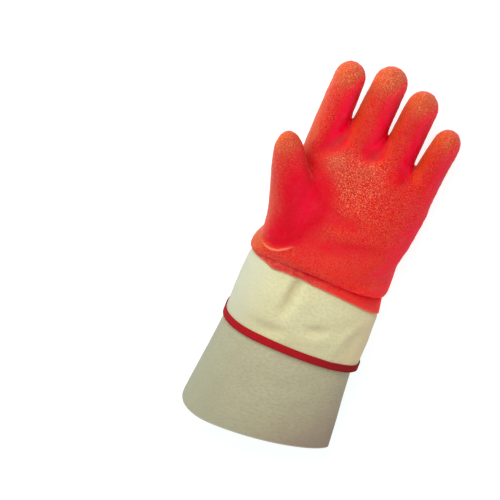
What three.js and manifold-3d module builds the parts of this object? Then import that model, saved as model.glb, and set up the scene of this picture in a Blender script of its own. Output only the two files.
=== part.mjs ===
// Cold protection glove for the left hand: a padded, dipped hand on a cuff of two cloth tubes.
// It lies on its back with the palm up. +X points to the little finger's side, +Y to the fingertips
// and +Z out of the palm. While it is modelled, z = 0 is the surface that it lies on and y = 0 is
// the lower edge of the coating. All sizes are in millimetres.

import * as THREE from 'three';
import { LoftGeometry } from 'three/addons/geometries/LoftGeometry.js';
import { mergeVertices } from 'three/addons/utils/BufferGeometryUtils.js';
import Module from 'manifold-3d';

const wasm = await Module();
wasm.setup();

// Walls, and the gap between pieces that lie on each other
const HAND_WALL = 3.5;
const BAND_WALL = 1.4;
const OUTER_CUFF_WALL = 1.4;
const GAUNTLET_WALL = 1.3;
const TAPE_WALL = 0.9;
const GAP = 0.3;

// Where the pieces begin and end along the glove
const HAND_EDGE = 9;
const CUFFS_START = 26;
const BAND_START = 24;
const BAND_FOLD = 12;
const BAND_EDGE = 1.5;
const CUFF_HEM = -63.2;
const TAPE_WIDTH = 7;
const TAPE_ROUNDING = 0.5;

// Points round each section, and steps along each digit
const PALM_POINTS = 30;
const CUFF_POINTS = 40;
const DIGIT_POINTS = 18;
const DIGIT_STEPS = 5;
const TIP_STEPS = 4;

// Where a round end's first section lies, as a share of a step, so that the end is nearly a point
const FIRST_STEP = 0.3;

// Points nearer to each other than this are one point
const SAME_POINT = 1e-4;

// How far a section's outline would pass below the flat that it lies on
const SAG = 5;

const UP = new THREE.Vector3(0, 0, 1);

// The hand's outer sections across the palm: the widest places left and right, the heights of the top,
// of the widest places and of the underside, where the top is highest, and how far each end of the
// section lags towards the cuff
const PALM = [
  { y: HAND_EDGE, left: -58.8, right: 55.8, top: 58.8, side: 29, peak: -5, base: 0, leftLag: 3, rightLag: 0 },
  { y: 10.5, left: -60.4, right: 57.2, top: 61.2, side: 29, peak: -5, base: 0, leftLag: 3, rightLag: 0 },
  { y: 15, left: -60, right: 57.4, top: 62, side: 29, peak: -5, base: 0, leftLag: 3, rightLag: 0 },
  { y: 22, left: -56.8, right: 56.8, top: 59.5, side: 28, peak: -5, base: 0, leftLag: 2, rightLag: 0 },
  { y: 33, left: -55, right: 55.8, top: 54, side: 26, peak: -5, base: 0, leftLag: 0, rightLag: 0 },
  { y: 53, left: -54, right: 57.8, top: 49, side: 25, peak: -3, base: 0, leftLag: 0, rightLag: 0 },
  { y: 76, left: -54, right: 59.2, top: 47, side: 23, peak: 0, base: 0, leftLag: 0, rightLag: 4 },
  { y: 98, left: -54.2, right: 59.2, top: 45, side: 22, peak: 0, base: 0, leftLag: 0, rightLag: 14 },
  { y: 110, left: -54, right: 58.8, top: 43, side: 22, peak: 0, base: 1, leftLag: 0, rightLag: 23 },
  { y: 120, left: -53, right: 57.5, top: 40, side: 22, peak: 0, base: 5, leftLag: 0, rightLag: 31 },
  { y: 128, left: -51.5, right: 55, top: 36, side: 22, peak: 0, base: 11, leftLag: 0, rightLag: 36 },
  { y: 133, left: -48, right: 50, top: 30, side: 22, peak: 0, base: 17, leftLag: 0, rightLag: 39 },
];

// Where the hand's hollow starts, clear of its lower edge, where the palm's form takes over in it from
// the cuff's, and where it ends
const HOLLOW = { start: -8, palm: 20, end: 125 };

// Pads and hollows of the palm: centre, reach across and along, and height
const PADS = [
  { x: -8, y: 82, across: 22, along: 22, rise: -3 },
  { x: 40, y: 55, across: 16, along: 30, rise: 2.5 },
  { x: -36, y: 104, across: 14, along: 12, rise: 3 },
  { x: 2, y: 110, across: 16, along: 9, rise: 1.5 },
  { x: 30, y: 104, across: 14, along: 9, rise: 1.5 },
];

// Fingers: centre line from the palm over a bend to the tip, half width and half depth at both ends
const FINGERS = [
  {
    root: [-40.8, 100, 21], bend: [-41.8, 139, 26], tip: [-43.4, 179.3, 52],
    wide: [14, 12], deep: [19, 12.5],
  },
  {
    root: [-12.3, 100, 21], bend: [-12.4, 145, 26], tip: [-13.2, 189, 55.5],
    wide: [15.6, 12.8], deep: [19, 13],
  },
  {
    root: [17.8, 96, 21], bend: [17.6, 140, 25], tip: [16.4, 181, 53],
    wide: [14.8, 12.2], deep: [18.5, 12.5],
  },
  {
    root: [45.3, 84, 20], bend: [46, 123, 23], tip: [46.4, 160.6, 49],
    wide: [13.5, 10.4], deep: [17.5, 11],
  },
];
const FINGERTIP_ROUNDING = 14;

// Thumb: centre line, and the reach of its section to each side. At its foot the right side is the
// long slope of the ball of the thumb down into the palm
const THUMB_LINE = [[-37, 15, 33], [-41.5, 40, 38], [-50, 66, 47], [-60, 90, 57], [-69.5, 114, 66]];
const THUMB_SIZES = [
  { share: 0, left: 19, right: 25, up: 22, down: 20, rightFull: 1.9 },
  { share: 0.25, left: 18, right: 25, up: 19, down: 20, rightFull: 1.8 },
  { share: 0.5, left: 16.5, right: 21, up: 16, down: 17, rightFull: 1.8 },
  { share: 0.75, left: 14, right: 15, up: 13, down: 13.5, rightFull: 2 },
  { share: 1, left: 9.5, right: 9.5, up: 10, down: 10, rightFull: 2 },
];
const THUMB_FOOT_ROUNDING = 14;
const THUMB_TIP_ROUNDING = 11;

// The outer cuff's outer sections, in the palm's columns
const OUTER_CUFF = [
  { y: CUFFS_START, left: -51, right: 49.5, top: 51.5, side: 29, peak: -5, base: 6, leftLag: 0, rightLag: 0 },
  { y: BAND_FOLD, left: -54, right: 52.3, top: 54.6, side: 29, peak: -6, base: 5.4, leftLag: 0, rightLag: 0 },
  { y: BAND_EDGE, left: -57.2, right: 57.4, top: 57, side: 30, peak: -8, base: 4.6, leftLag: 1, rightLag: 11 },
  { y: -8, left: -59, right: 59.2, top: 58, side: 30, peak: -9, base: 3.8, leftLag: 0, rightLag: 6 },
  { y: -18, left: -59.4, right: 60.6, top: 59.5, side: 30, peak: -10, base: 3.2, leftLag: 0, rightLag: 3 },
  { y: -28, left: -59.4, right: 61.2, top: 60.5, side: 30, peak: -12, base: 2.6, leftLag: 0, rightLag: 1 },
  { y: -38, left: -59.2, right: 61.7, top: 61, side: 30, peak: -13, base: 2.1, leftLag: 0, rightLag: 1 },
  { y: -48, left: -58.8, right: 62.1, top: 61.2, side: 30, peak: -14, base: 1.7, leftLag: 0, rightLag: 1 },
  { y: -57, left: -58.4, right: 62.7, top: 61.2, side: 30, peak: -15, base: 1.4, leftLag: 0, rightLag: 2 },
  { y: CUFF_HEM, left: -58.2, right: 63.2, top: 61.2, side: 30, peak: -15, base: 1.3, leftLag: 0, rightLag: 2 },
];

// The gauntlet's outer sections beyond the outer cuff's hem
const GAUNTLET = [
  { y: -76, left: -57.6, right: 61, top: 59.6, side: 29, peak: -18, base: 1, leftLag: 0, rightLag: 0 },
  { y: -96, left: -58.6, right: 64, top: 60.2, side: 28, peak: -22, base: 0, leftLag: 0, rightLag: 0 },
  { y: -120, left: -60.2, right: 67.8, top: 61, side: 28, peak: -26, base: 0, leftLag: 0, rightLag: -2 },
  { y: -140, left: -61.6, right: 70.6, top: 61.8, side: 28, peak: -29, base: 0, leftLag: 0, rightLag: -4 },
  { y: -154, left: -62.4, right: 72.4, top: 62.2, side: 28, peak: -31, base: 0, leftLag: 0, rightLag: -6 },
];

// Where the gauntlet sinks from the outer cuff to leave room for the tape, as distances from y = 0
const UNDER_CUFF_DROP = { from: 20, to: 50 };

// How full each side of a section is: 2 is an ellipse, more is boxy and less is pinched
const PALM_FULLNESS = { left: 2.6, right: 2.5 };
const CUFF_FULLNESS = { left: 2.5, right: 2 };
const MOUTH_FULLNESS = { left: 2.4, right: 1.55 };

// Soft folds of the cuffs' upper side, as valleys from one place to another. A ridge has a depth below 0
const FOLDS = [
  { from: [-12, -2], to: [-16, -25], width: 6, depth: 1.6 },
  { from: [-4, -4], to: [-7, -28], width: 6, depth: -1 },
  { from: [38, -24], to: [14, -34], width: 7, depth: 1.8 },
  { from: [14, -34], to: [-22, -46], width: 8, depth: 1.5 },
  { from: [50, -14], to: [41, -48], width: 7, depth: 1.4 },
];

// Materials
const COATING = { color: 0xe5322d, roughness: 0.55, metalness: 0 };
const SMOOTH_COATING = { color: 0xe8402f, roughness: 0.5, metalness: 0 };
const CREAM_CLOTH = { color: 0xded8ac, roughness: 0.9, metalness: 0 };
const RED_TAPE = { color: 0xb91a2a, roughness: 0.8, metalness: 0 };
const GREY_CLOTH = { color: 0xb4b296, roughness: 0.9, metalness: 0 };

// Outline of a section as steps across and above its centre, in the order that faces a loft outwards
// when it runs towards +Y
function outline(count, reach, fullness) {
  const points = [];
  for (let i = 0; i < count; i += 1) {
    const angle = (-2 * Math.PI * i) / count;
    const c = Math.cos(angle);
    const s = Math.sin(angle);
    const power = 2 / (c < 0 ? fullness.left : fullness.right);
    points.push({
      across: (c < 0 ? reach.left : reach.right) * Math.sign(c) * Math.abs(c) ** power,
      above: (s < 0 ? reach.down : reach.up) * Math.sign(s) * Math.abs(s) ** power,
    });
  }
  return points;
}

// Height that the palm's pads and hollows add at a place
function padRise(x, y) {
  let rise = 0;
  for (const pad of PADS) {
    const distance = ((x - pad.x) / pad.across) ** 2 + ((y - pad.y) / pad.along) ** 2;
    rise += pad.rise * Math.exp(-distance);
  }
  return rise;
}

// Height that the cuffs' folds add at a place, below 0 in a valley
function foldRise(x, y) {
  const place = new THREE.Vector3(x, y, 0);
  const nearest = new THREE.Vector3();
  let rise = 0;
  for (const fold of FOLDS) {
    const line = new THREE.Line3(new THREE.Vector3(...fold.from), new THREE.Vector3(...fold.to));
    line.closestPointToPoint(place, true, nearest);
    rise -= fold.depth * Math.exp(-((place.distanceTo(nearest) / fold.width) ** 2));
  }
  return rise;
}

// One ring across the glove, moved inwards by an inset, with a relief added to its upper side
function crossRing(row, inset, count, fullness, relief) {
  const reach = {
    left: row.peak - row.left - inset,
    right: row.right - row.peak - inset,
    up: row.top - row.side - inset,
    down: row.side - row.base + SAG - inset,
  };
  return outline(count, reach, fullness).map(({ across, above }) => {
    const x = row.peak + across;
    const leftward = Math.max(0, -across) / reach.left;
    const rightward = Math.max(0, across) / reach.right;
    const y = row.y - row.leftLag * leftward ** 2 - row.rightLag * rightward ** 2;
    const upper = Math.max(0, above) / reach.up;
    const z = row.side + above + relief(x, y) * upper;
    return new THREE.Vector3(x, y, Math.max(z, row.base + inset));
  });
}

// The row of a table at a place in its first column, between the two rows round it
function rowAt(rows, column, place) {
  const travelled = Math.abs(place - rows[0][column]);
  let next = 1;
  while (next < rows.length - 1 && Math.abs(rows[next][column] - rows[0][column]) < travelled) {
    next += 1;
  }
  const before = rows[next - 1];
  const after = rows[next];
  const share = (place - before[column]) / (after[column] - before[column]);
  const row = {};
  for (const name of Object.keys(before)) {
    row[name] = THREE.MathUtils.lerp(before[name], after[name], share);
  }
  return row;
}

// How much of its full size a digit's section has at a distance from a round end
function roundedShare(distance, rounding) {
  if (rounding === 0) {
    return 1;
  }
  const inward = Math.min(1, distance / rounding);
  return Math.sqrt(1 - (1 - inward) ** 2);
}

// Distances from a round end at which its sections lie, close together where it curves most
function roundedSteps(rounding) {
  const steps = [];
  for (let i = 0; i < TIP_STEPS && rounding > 0; i += 1) {
    const turn = ((i + FIRST_STEP) / TIP_STEPS) * (Math.PI / 2);
    steps.push(rounding * (1 - Math.cos(turn)));
  }
  return steps;
}

// Rings along a finger or thumb, at right angles to its line, with rounded ends
function digitRings({ line, sizes, footRounding, tipRounding, inset }) {
  const length = line.getLength();
  const start = footRounding > 0 ? inset : 0;
  const end = length - inset;
  const places = roundedSteps(footRounding).map((step) => start + step);
  for (let i = 0; i <= DIGIT_STEPS; i += 1) {
    places.push(THREE.MathUtils.lerp(start + footRounding, end - tipRounding, i / DIGIT_STEPS));
  }
  places.push(...roundedSteps(tipRounding).map((step) => end - step).reverse());
  return places.map((place) => {
    const centre = line.getPointAt(place / length);
    const along = line.getTangentAt(place / length);
    const side = new THREE.Vector3().crossVectors(along, UP).normalize();
    const lift = new THREE.Vector3().crossVectors(side, along);
    const size = sizes(place / length);
    const share = roundedShare(place - start, footRounding) * roundedShare(end - place, tipRounding);
    const reach = {
      left: (size.left - inset) * share,
      right: (size.right - inset) * share,
      up: (size.up - inset) * share,
      down: (size.down - inset) * share,
    };
    return outline(DIGIT_POINTS, reach, { left: 2, right: size.rightFull }).map(({ across, above }) => {
      const point = centre.clone().addScaledVector(side, across).addScaledVector(lift, above);
      point.z = Math.max(point.z, inset);
      return point;
    });
  });
}

function fingerRings(finger, inset) {
  const points = [finger.root, finger.bend, finger.tip].map((point) => new THREE.Vector3(...point));
  const sizes = (share) => {
    const wide = THREE.MathUtils.lerp(...finger.wide, share);
    const deep = THREE.MathUtils.lerp(...finger.deep, share);
    return { left: wide, right: wide, up: deep, down: deep, rightFull: 2 };
  };
  return digitRings({
    line: new THREE.QuadraticBezierCurve3(...points),
    sizes,
    footRounding: 0,
    tipRounding: FINGERTIP_ROUNDING,
    inset,
  });
}

function thumbRings(inset) {
  return digitRings({
    line: new THREE.CatmullRomCurve3(THUMB_LINE.map((point) => new THREE.Vector3(...point))),
    sizes: (share) => rowAt(THUMB_SIZES, 'share', share),
    footRounding: THUMB_FOOT_ROUNDING,
    tipRounding: THUMB_TIP_ROUNDING,
    inset,
  });
}

// The same surface with each point held once
function mergedCopy(geometry) {
  const copy = new THREE.BufferGeometry().copy(geometry);
  copy.deleteAttribute('normal');
  copy.deleteAttribute('uv');
  return mergeVertices(copy, SAME_POINT);
}

// A closed geometry as a solid
function solidOf(geometry) {
  const merged = mergedCopy(geometry);
  return new wasm.Manifold(new wasm.Mesh({
    numProp: 3,
    vertProperties: Float32Array.from(merged.getAttribute('position').array),
    triVerts: Uint32Array.from(merged.getIndex().array),
  }));
}

function loftedSolid(rings) {
  return solidOf(new LoftGeometry(rings, { capStart: true, capEnd: true }));
}

// A solid back as a geometry
function geometryOf(solid) {
  const mesh = solid.getMesh();
  const geometry = new THREE.BufferGeometry();
  geometry.setAttribute('position', new THREE.BufferAttribute(mesh.vertProperties, 3));
  geometry.setIndex(new THREE.BufferAttribute(mesh.triVerts, 1));
  geometry.computeVertexNormals();
  return geometry;
}

// A wall that closes on itself: rings up its outer face and back down the inner one
function closedWall(rings) {
  const merged = mergedCopy(new LoftGeometry([...rings, rings[0]]));
  merged.computeVertexNormals();
  return merged;
}

// The hand: palm, fingers and thumb joined, less the same forms one wall smaller. Round the wrist its
// hollow fits over the band
function handShell() {
  const palmRing = (row, inset) => crossRing(row, inset, PALM_POINTS, PALM_FULLNESS, padRise);
  const wristPlaces = [HOLLOW.start, BAND_EDGE, BAND_FOLD, CUFFS_START];
  const palmHollow = PALM.filter((row) => row.y > HOLLOW.palm && row.y < HOLLOW.end);
  let outside = loftedSolid(PALM.map((row) => palmRing(row, 0)));
  let inside = loftedSolid(wristPlaces.map((y) => cuffRing(y, BAND_WALL + 2 * GAP)));
  inside = inside.add(loftedSolid(palmHollow.map((row) => palmRing(row, HAND_WALL))));
  for (const finger of FINGERS) {
    outside = outside.add(loftedSolid(fingerRings(finger, 0)));
    inside = inside.add(loftedSolid(fingerRings(finger, HAND_WALL)));
  }
  outside = outside.add(loftedSolid(thumbRings(0)));
  inside = inside.add(loftedSolid(thumbRings(HAND_WALL)));
  return geometryOf(outside.subtract(inside));
}

// A ring round the outer cuff's form, above its surface by a height that may be below 0
function cuffRing(y, height) {
  return crossRing(rowAt(OUTER_CUFF, 'y', y), -height, CUFF_POINTS, CUFF_FULLNESS, foldRise);
}

function outerCuff() {
  const places = OUTER_CUFF.map((row) => row.y);
  const inside = places.map((y) => cuffRing(y, -OUTER_CUFF_WALL));
  const outside = places.reverse().map((y) => cuffRing(y, 0));
  return closedWall([...outside, ...inside]);
}

function wristBand() {
  const places = [BAND_START, BAND_FOLD, BAND_EDGE];
  const inside = places.map((y) => cuffRing(y, GAP));
  const outside = places.reverse().map((y) => cuffRing(y, GAP + BAND_WALL));
  return closedWall([...outside, ...inside]);
}

// The tape folded round the hem: a U in section, with the cuff's edge in it
function cuffBinding() {
  const slotEnd = CUFF_HEM - GAP;
  const end = slotEnd - TAPE_WALL;
  const top = end + TAPE_WIDTH;
  const outer = GAP + TAPE_WALL;
  const inner = -(OUTER_CUFF_WALL + GAP);
  const section = [
    [slotEnd, GAP],
    [slotEnd, inner],
    [top, inner],
    [top, inner - TAPE_WALL],
    [end + TAPE_ROUNDING, inner - TAPE_WALL],
    [end, inner - TAPE_WALL + TAPE_ROUNDING],
    [end, outer - TAPE_ROUNDING],
    [end + TAPE_ROUNDING, outer],
    [top, outer],
    [top, GAP],
  ];
  return closedWall(section.map(([y, height]) => cuffRing(y, height)));
}

// The gauntlet keeps one gap under the outer cuff, drops under the tape and spreads to its mouth
function gauntlet() {
  const underCuff = -(OUTER_CUFF_WALL + GAP);
  const underTape = underCuff - TAPE_WALL - 2 * GAP;
  const hidden = OUTER_CUFF.map(({ y }) => {
    const share = THREE.MathUtils.smoothstep(-y, UNDER_CUFF_DROP.from, UNDER_CUFF_DROP.to);
    return { y, height: THREE.MathUtils.lerp(underCuff, underTape, share) };
  });
  const shown = GAUNTLET.map((row) => {
    const share = (row.y - CUFF_HEM) / (GAUNTLET[GAUNTLET.length - 1].y - CUFF_HEM);
    const left = THREE.MathUtils.lerp(CUFF_FULLNESS.left, MOUTH_FULLNESS.left, share);
    const right = THREE.MathUtils.lerp(CUFF_FULLNESS.right, MOUTH_FULLNESS.right, share);
    return { row, fullness: { left, right } };
  });
  const face = (inset) => [
    ...hidden.map(({ y, height }) => cuffRing(y, height - inset)),
    ...shown.map(({ row, fullness }) => crossRing(row, inset, CUFF_POINTS, fullness, () => 0)),
  ];
  return closedWall([...face(0).reverse(), ...face(GAUNTLET_WALL)]);
}

function piece(name, geometry, look) {
  const mesh = new THREE.Mesh(geometry, new THREE.MeshStandardMaterial(look));
  mesh.name = name;
  return mesh;
}

const glove = new THREE.Group();
glove.add(
  piece('hand_shell', handShell(), COATING),
  piece('wrist_band', wristBand(), SMOOTH_COATING),
  piece('outer_cuff', outerCuff(), CREAM_CLOTH),
  piece('cuff_binding', cuffBinding(), RED_TAPE),
  piece('gauntlet', gauntlet(), GREY_CLOTH),
);

// The origin is under the middle of the glove
const box = new THREE.Box3().setFromObject(glove);
const middle = box.getCenter(new THREE.Vector3());
glove.position.set(-middle.x, -middle.y, -box.min.z);

export default glove;
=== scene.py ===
"""The look of a cold protection glove for the left hand, lying on its back with the palm up.

Points are worked out in millimetres in the glove's own frame: +X to the little finger's side, +Y to
the fingertips, +Z out of the palm, z = 0 the floor and y = 0 just below the smooth band. They are
moved into the shared frame, in metres, when a mesh is made.
"""

import math

import bmesh
import bpy
import numpy as np
from mathutils import Matrix, Vector, noise


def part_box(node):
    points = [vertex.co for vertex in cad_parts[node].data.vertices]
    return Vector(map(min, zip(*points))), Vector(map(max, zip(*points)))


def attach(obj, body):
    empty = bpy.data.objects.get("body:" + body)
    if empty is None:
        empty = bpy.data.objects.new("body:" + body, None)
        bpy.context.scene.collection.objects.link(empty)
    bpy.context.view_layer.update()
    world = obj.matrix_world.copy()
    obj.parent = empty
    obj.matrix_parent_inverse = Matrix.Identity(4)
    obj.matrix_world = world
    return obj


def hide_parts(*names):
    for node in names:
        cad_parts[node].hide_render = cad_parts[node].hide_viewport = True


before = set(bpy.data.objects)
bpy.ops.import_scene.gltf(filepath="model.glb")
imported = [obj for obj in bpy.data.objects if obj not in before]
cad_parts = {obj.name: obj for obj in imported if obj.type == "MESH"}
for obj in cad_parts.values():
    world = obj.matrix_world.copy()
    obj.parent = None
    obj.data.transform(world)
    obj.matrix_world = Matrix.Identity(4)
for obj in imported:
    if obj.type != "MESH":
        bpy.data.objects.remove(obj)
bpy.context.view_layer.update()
scene = bpy.context.scene

MM = 0.001

# Walls, and the gap between pieces that lie on each other
HAND_WALL = 3.5
BAND_WALL = 1.4
OUTER_CUFF_WALL = 1.4
GAUNTLET_WALL = 1.3
TAPE_WALL = 0.9
GAP = 0.3

# Where the pieces begin and end along the glove
HAND_EDGE = 9
CUFFS_START = 26
BAND_START = 24
BAND_EDGE = 1.5
CUFF_HEM = -63.2
TAPE_WIDTH = 7

# How far a section's outline would pass below the flat that it lies on
SAG = 5

# Columns of the section tables: the widest places left and right, the heights of the top, of the
# widest places and of the underside, where the top is highest, and how far each end of the section
# lags towards the cuff
Y, LEFT, RIGHT, TOP, SIDE, PEAK, BASE, LEFT_LAG, RIGHT_LAG = range(9)

PALM = [
    (HAND_EDGE, -60.4, 56.2, 59.8, 29, -5, 0, 9, 2.5),
    (10.5, -61.4, 57.2, 61.4, 29, -5, 0, 8.5, 2.5),
    (15, -61, 57.4, 62, 29, -5, 0, 7.5, 2),
    (22, -57.4, 56.8, 59.5, 28, -5, 0, 5, 1),
    (33, -55, 55.8, 54, 26, -5, 0, 1, 0),
    (53, -54, 57.8, 49, 25, -3, 0, 0, 0),
    (76, -54, 59.2, 47, 23, 0, 0, 0, 4),
    (98, -54.2, 59.2, 45, 22, 0, 0, 0, 14),
    (110, -54, 58.8, 43, 22, 0, 1, 0, 23),
    (120, -53, 57.5, 40, 22, 0, 5, 0, 31),
    (128, -51.5, 55, 36, 22, 0, 11, 0, 36),
    (133, -48, 50, 30, 22, 0, 17, 0, 39),
]

OUTER_CUFF = [
    (CUFF_HEM, -58.2, 63.2, 61.2, 30, -15, 1.3, 0, 2),
    (-57, -58.4, 62.7, 61.2, 30, -15, 1.4, 0, 2),
    (-48, -58.8, 62.1, 61.2, 30, -14, 1.7, 0, 1),
    (-38, -59.2, 61.7, 61, 30, -13, 2.1, 0, 1),
    (-28, -59.4, 60.6, 60.5, 30, -12, 2.6, 0, 1),
    (-18, -59.4, 59.8, 59.5, 30, -10, 3.2, 0, 3),
    (-8, -59, 59.2, 58, 30, -9, 3.8, 0, 6),
    (BAND_EDGE, -57.2, 57.4, 57, 30, -8, 4.6, 1, 11),
    (12, -54, 52.3, 54.6, 29, -6, 5.4, 0, 0),
    (CUFFS_START, -51, 49.5, 51.5, 29, -5, 6, 0, 0),
]

GAUNTLET = [
    (-154, -62.4, 72.4, 62.2, 28, -31, 0, 0, -6),
    (-140, -61.6, 70.6, 61.8, 28, -29, 0, 0, -4),
    (-120, -60.2, 67.8, 61, 28, -26, 0, 0, -2),
    (-96, -58.6, 64, 60.2, 28, -22, 0, 0, 0),
    (-76, -57.6, 61, 59.6, 29, -18, 1, 0, 0),
]
GAUNTLET_HEM = GAUNTLET[0][Y]

# How full the left and right side of a section is: 2 is an ellipse, more is boxy, less is pinched
PALM_FULLNESS = (2.6, 2.5)
CUFF_FULLNESS = (2.5, 2)
MOUTH_FULLNESS = (2.4, 1.55)

# Fingers: the three points of a bent centre line from the palm to the tip, and the half width and
# half depth at both ends
FINGERS = [
    ([(-40.8, 100, 21), (-41.8, 139, 26), (-43.4, 179.3, 52)], (14, 12), (19, 12.5)),
    ([(-12.3, 100, 21), (-12.4, 145, 26), (-13.2, 189, 55.5)], (15.6, 12.8), (19, 13)),
    ([(17.8, 96, 21), (17.6, 140, 25), (16.4, 181, 53)], (14.8, 12.2), (18.5, 12.5)),
    ([(45.3, 84, 20), (46, 123, 23), (46.4, 160.6, 49)], (13.5, 10.4), (17.5, 11)),
]
FINGERTIP_ROUNDING = 14

# Thumb: its centre line, and its section as (share of the line, reach left, right, up and down)
THUMB_LINE = [(-37, 8, 33), (-41.5, 40, 38), (-50, 66, 47), (-60, 90, 57), (-69, 115.5, 66)]
THUMB_SIZES = [
    (0, 19, 25, 22, 20),
    (0.25, 18, 25, 19, 20),
    (0.5, 16.5, 21, 16, 17),
    (0.75, 13.2, 15, 13, 13.5),
    (1, 8.5, 9, 9.5, 9.5),
]
THUMB_FOOT_ROUNDING = 14
THUMB_TIP_ROUNDING = 15

# Pads of the palm as (x, y, reach across, reach along, height)
PADS = [
    (-8, 82, 22, 22, -3),
    (40, 55, 16, 30, 2.5),
    (-36, 104, 14, 12, 3),
    (2, 110, 16, 9, 1.5),
    (30, 104, 14, 9, 1.5),
]

# Lines drawn into the hand's upper side, each a half width and points (x, y, depth). A depth below 0
# makes a ridge
HAND_LINES = [
    (5.5, [(-27.3, 134, 0.8), (-28.5, 122, 2.0), (-33.5, 112.5, 2.0), (-39, 105, 1.4), (-44, 99, 0.5)]),
    (3, [(-26.6, 128, 0.5), (-27.3, 120, 0.9), (-31, 112.5, 0.7), (-36.5, 105, 0.6), (-41, 100.3, 0.2)]),
    (5, [(-21, 125, -0.3), (-22.5, 116, -0.9), (-27.5, 107.5, -0.9), (-33, 100, -0.6), (-36, 94, -0.1)]),
    (5.5, [(3.5, 134, 0.8), (3.2, 124, 2.0), (-1.8, 116.5, 2.0), (-10, 115, 0.8)]),
    (3, [(4.8, 128, 0.5), (4.4, 121, 1.0), (1.2, 115, 0.8), (-5.5, 112.5, 0.4), (-12, 112.5, 0)]),
    (5, [(10, 124, -0.3), (9.5, 116, -1.0), (4, 110, -1.2), (-5, 107, -0.8)]),
    (5, [(31.5, 118, 1.0), (31, 108, 1.6), (30, 99, 0.3)]),
    (3, [(34, 115, 0.6), (33.5, 109, 0.9), (32.3, 101, 0.2)]),
    (5, [(39, 113, -0.4), (39, 105, -1.0), (37, 97, -0.4)]),
    (3.2, [(-55, 20, 0.5), (-49, 17.5, 1.5), (-43, 18.4, 1.8), (-37, 21.5, 1.7), (-32, 25.5, 1.1),
           (-27, 33, 0.3)]),
    (1.3, [(-53.5, 14.8, -0.3), (-50, 14.2, -0.9), (-44.5, 14.6, -1.3), (-39, 16.3, -1.4),
           (-34.5, 19.7, -1.3), (-28.5, 24.2, -0.4)]),
    (1.6, [(-29.6, 23.5, 0.7), (-28, 20, 0.9), (-30.6, 15, 0.2)]),
    (1.6, [(-28.6, 24, 0.7), (-26, 27, 0.8), (-25.3, 32, 0.2)]),
    (5.5, [(-22, 60, 0.2), (-6, 57.5, 1.3), (14, 60, 0.2)]),
    (6, [(-14, 66, 0), (-2, 65, -0.6), (10, 67, 0)]),
    (5, [(-16, 37, 0.3), (8, 39, 1.5), (33, 45, 0.7), (46, 51, 0)]),
    (6, [(-8, 46, 0), (12, 48, -0.7), (34, 54, -0.3)]),
    (4.5, [(26, 18, 0), (40, 24.5, 1.6), (56, 31, 1.2)]),
    (5, [(26, 28, 0), (42, 35, -1.1), (54, 40, -0.4)]),
    (3, [(-69, 93, 0.2), (-62, 90, 0.9), (-53, 88, 0.2)]),
    (1.6, [(-58, 12.5, 0.3), (-40, 9.5, 0.8), (-20, 13, 0.3)]),
]

# Where two fingers part, as (x, y, how far the slit between them is drawn towards the palm), and how
# far that reaches across and along
CROTCHES = [(-27.4, 136.8, 5.5), (3.9, 136.1, 5.0), (33.1, 119.6, 2.8)]
CROTCH_ACROSS = 1.6
CROTCH_ALONG = 6

# How far the roll's upper edge is drawn towards the palm, where across the glove, and the y and z
# where that starts and is full
ROLL_RISE = 3.0
ROLL_RISE_AT = 10
ROLL_RISE_REACH = 36
ROLL_RISE_ALONG = (12, 0)
ROLL_RISE_ABOVE = (30, 40)

# The crease beside the thumb, where the padding rounds the surface off, how far from it and how much
# it does so, and the z where that starts and is full
THUMB_CREASE = [(-27, 96), (-21, 84), (-19, 66), (-20, 48), (-25, 32), (-36, 24)]
CREASE_REACH = 12
CREASE_ROUNDS = 420
CREASE_ABOVE = (15, 25)

# Where the coating is smoothed and painted with deep red shade, as a half width and points (x, y, share)
DEEP_SHADE_LINES = [
    (7.5, [(-43.5, 98.5, 0.3), (-39.2, 104.5, 0.8), (-35, 110.5, 1.0), (-32.6, 118, 1.0)]),
    (9, [(-32.4, 119, 1.0), (-33, 135, 1.0), (-35, 155, 0.7), (-37, 170, 0.2)]),
    (7, [(-11.5, 114.5, 0.4), (-5.5, 116, 0.9), (-1.5, 120, 1.0)]),
    (8.5, [(-1.5, 122, 1.0), (-1.5, 129, 1.0), (-3, 145, 0.9), (-5, 165, 0.5), (-8, 182, 0.1)]),
    (8, [(25, 108, 0.8), (26.3, 118, 1.0), (26.5, 135, 1.0), (24, 155, 0.6), (21, 172, 0.2)]),
    (7, [(48.5, 100, 0.3), (49, 117, 0.5), (50, 135, 0.4), (50.5, 148, 0.1)]),
    (14, [(-58, 95, 0.3), (-46, 74, 1.0), (-40, 50, 1.0), (-44, 30, 1.0)]),
    (13, [(-32, 88, 0.7), (-27, 76, 1.0), (-22, 64, 1.0), (-23, 50, 0.9), (-28, 36, 0.6)]),
    (5.5, [(-50, 21, 0.5), (-43, 22, 0.9), (-36, 25.5, 0.8), (-31, 30, 0.5)]),
    (6, [(-12, 55, 0.2), (-6, 55.5, 0.6), (8, 58, 0.6), (16, 60, 0.1)]),
    (7, [(-14, 31, 0.3), (-2, 35, 0.7), (9.5, 39, 0.8), (27.5, 44, 0.6), (38, 48, 0.2)]),
    (14, [(56, 66, 0.5), (48, 30, 0.5), (20, 18, 0.3), (-10, 24, 0.2)]),
]

# Where the coating has wear with a painted golden highlight, painted glints and painted pale highlights,
# as (x, y, reach, wear and highlight, glint, paleness), and how much it glints elsewhere
WEAR_AND_HIGHLIGHT_SPOTS = [
    (-43.5, 174, 15, 1.0, 0.5, 0),
    (-13.2, 184, 15, 1.0, 0.5, 0),
    (16.4, 176, 14, 0.9, 0.5, 0),
    (46.4, 156, 12, 0.7, 0.4, 0),
    (-68, 110, 15, 0.9, 0.4, 0),
    (-31, 98, 12, 0.3, 1.0, 0.18),
    (2, 109, 9, 0.2, 0.6, 0.07),
    (-8, 88, 24, 0.3, 1.0, 0),
    (-58, 12, 9, 0.6, 0.1, 0),
]
LEAST_GLINT = 0.26
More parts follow.
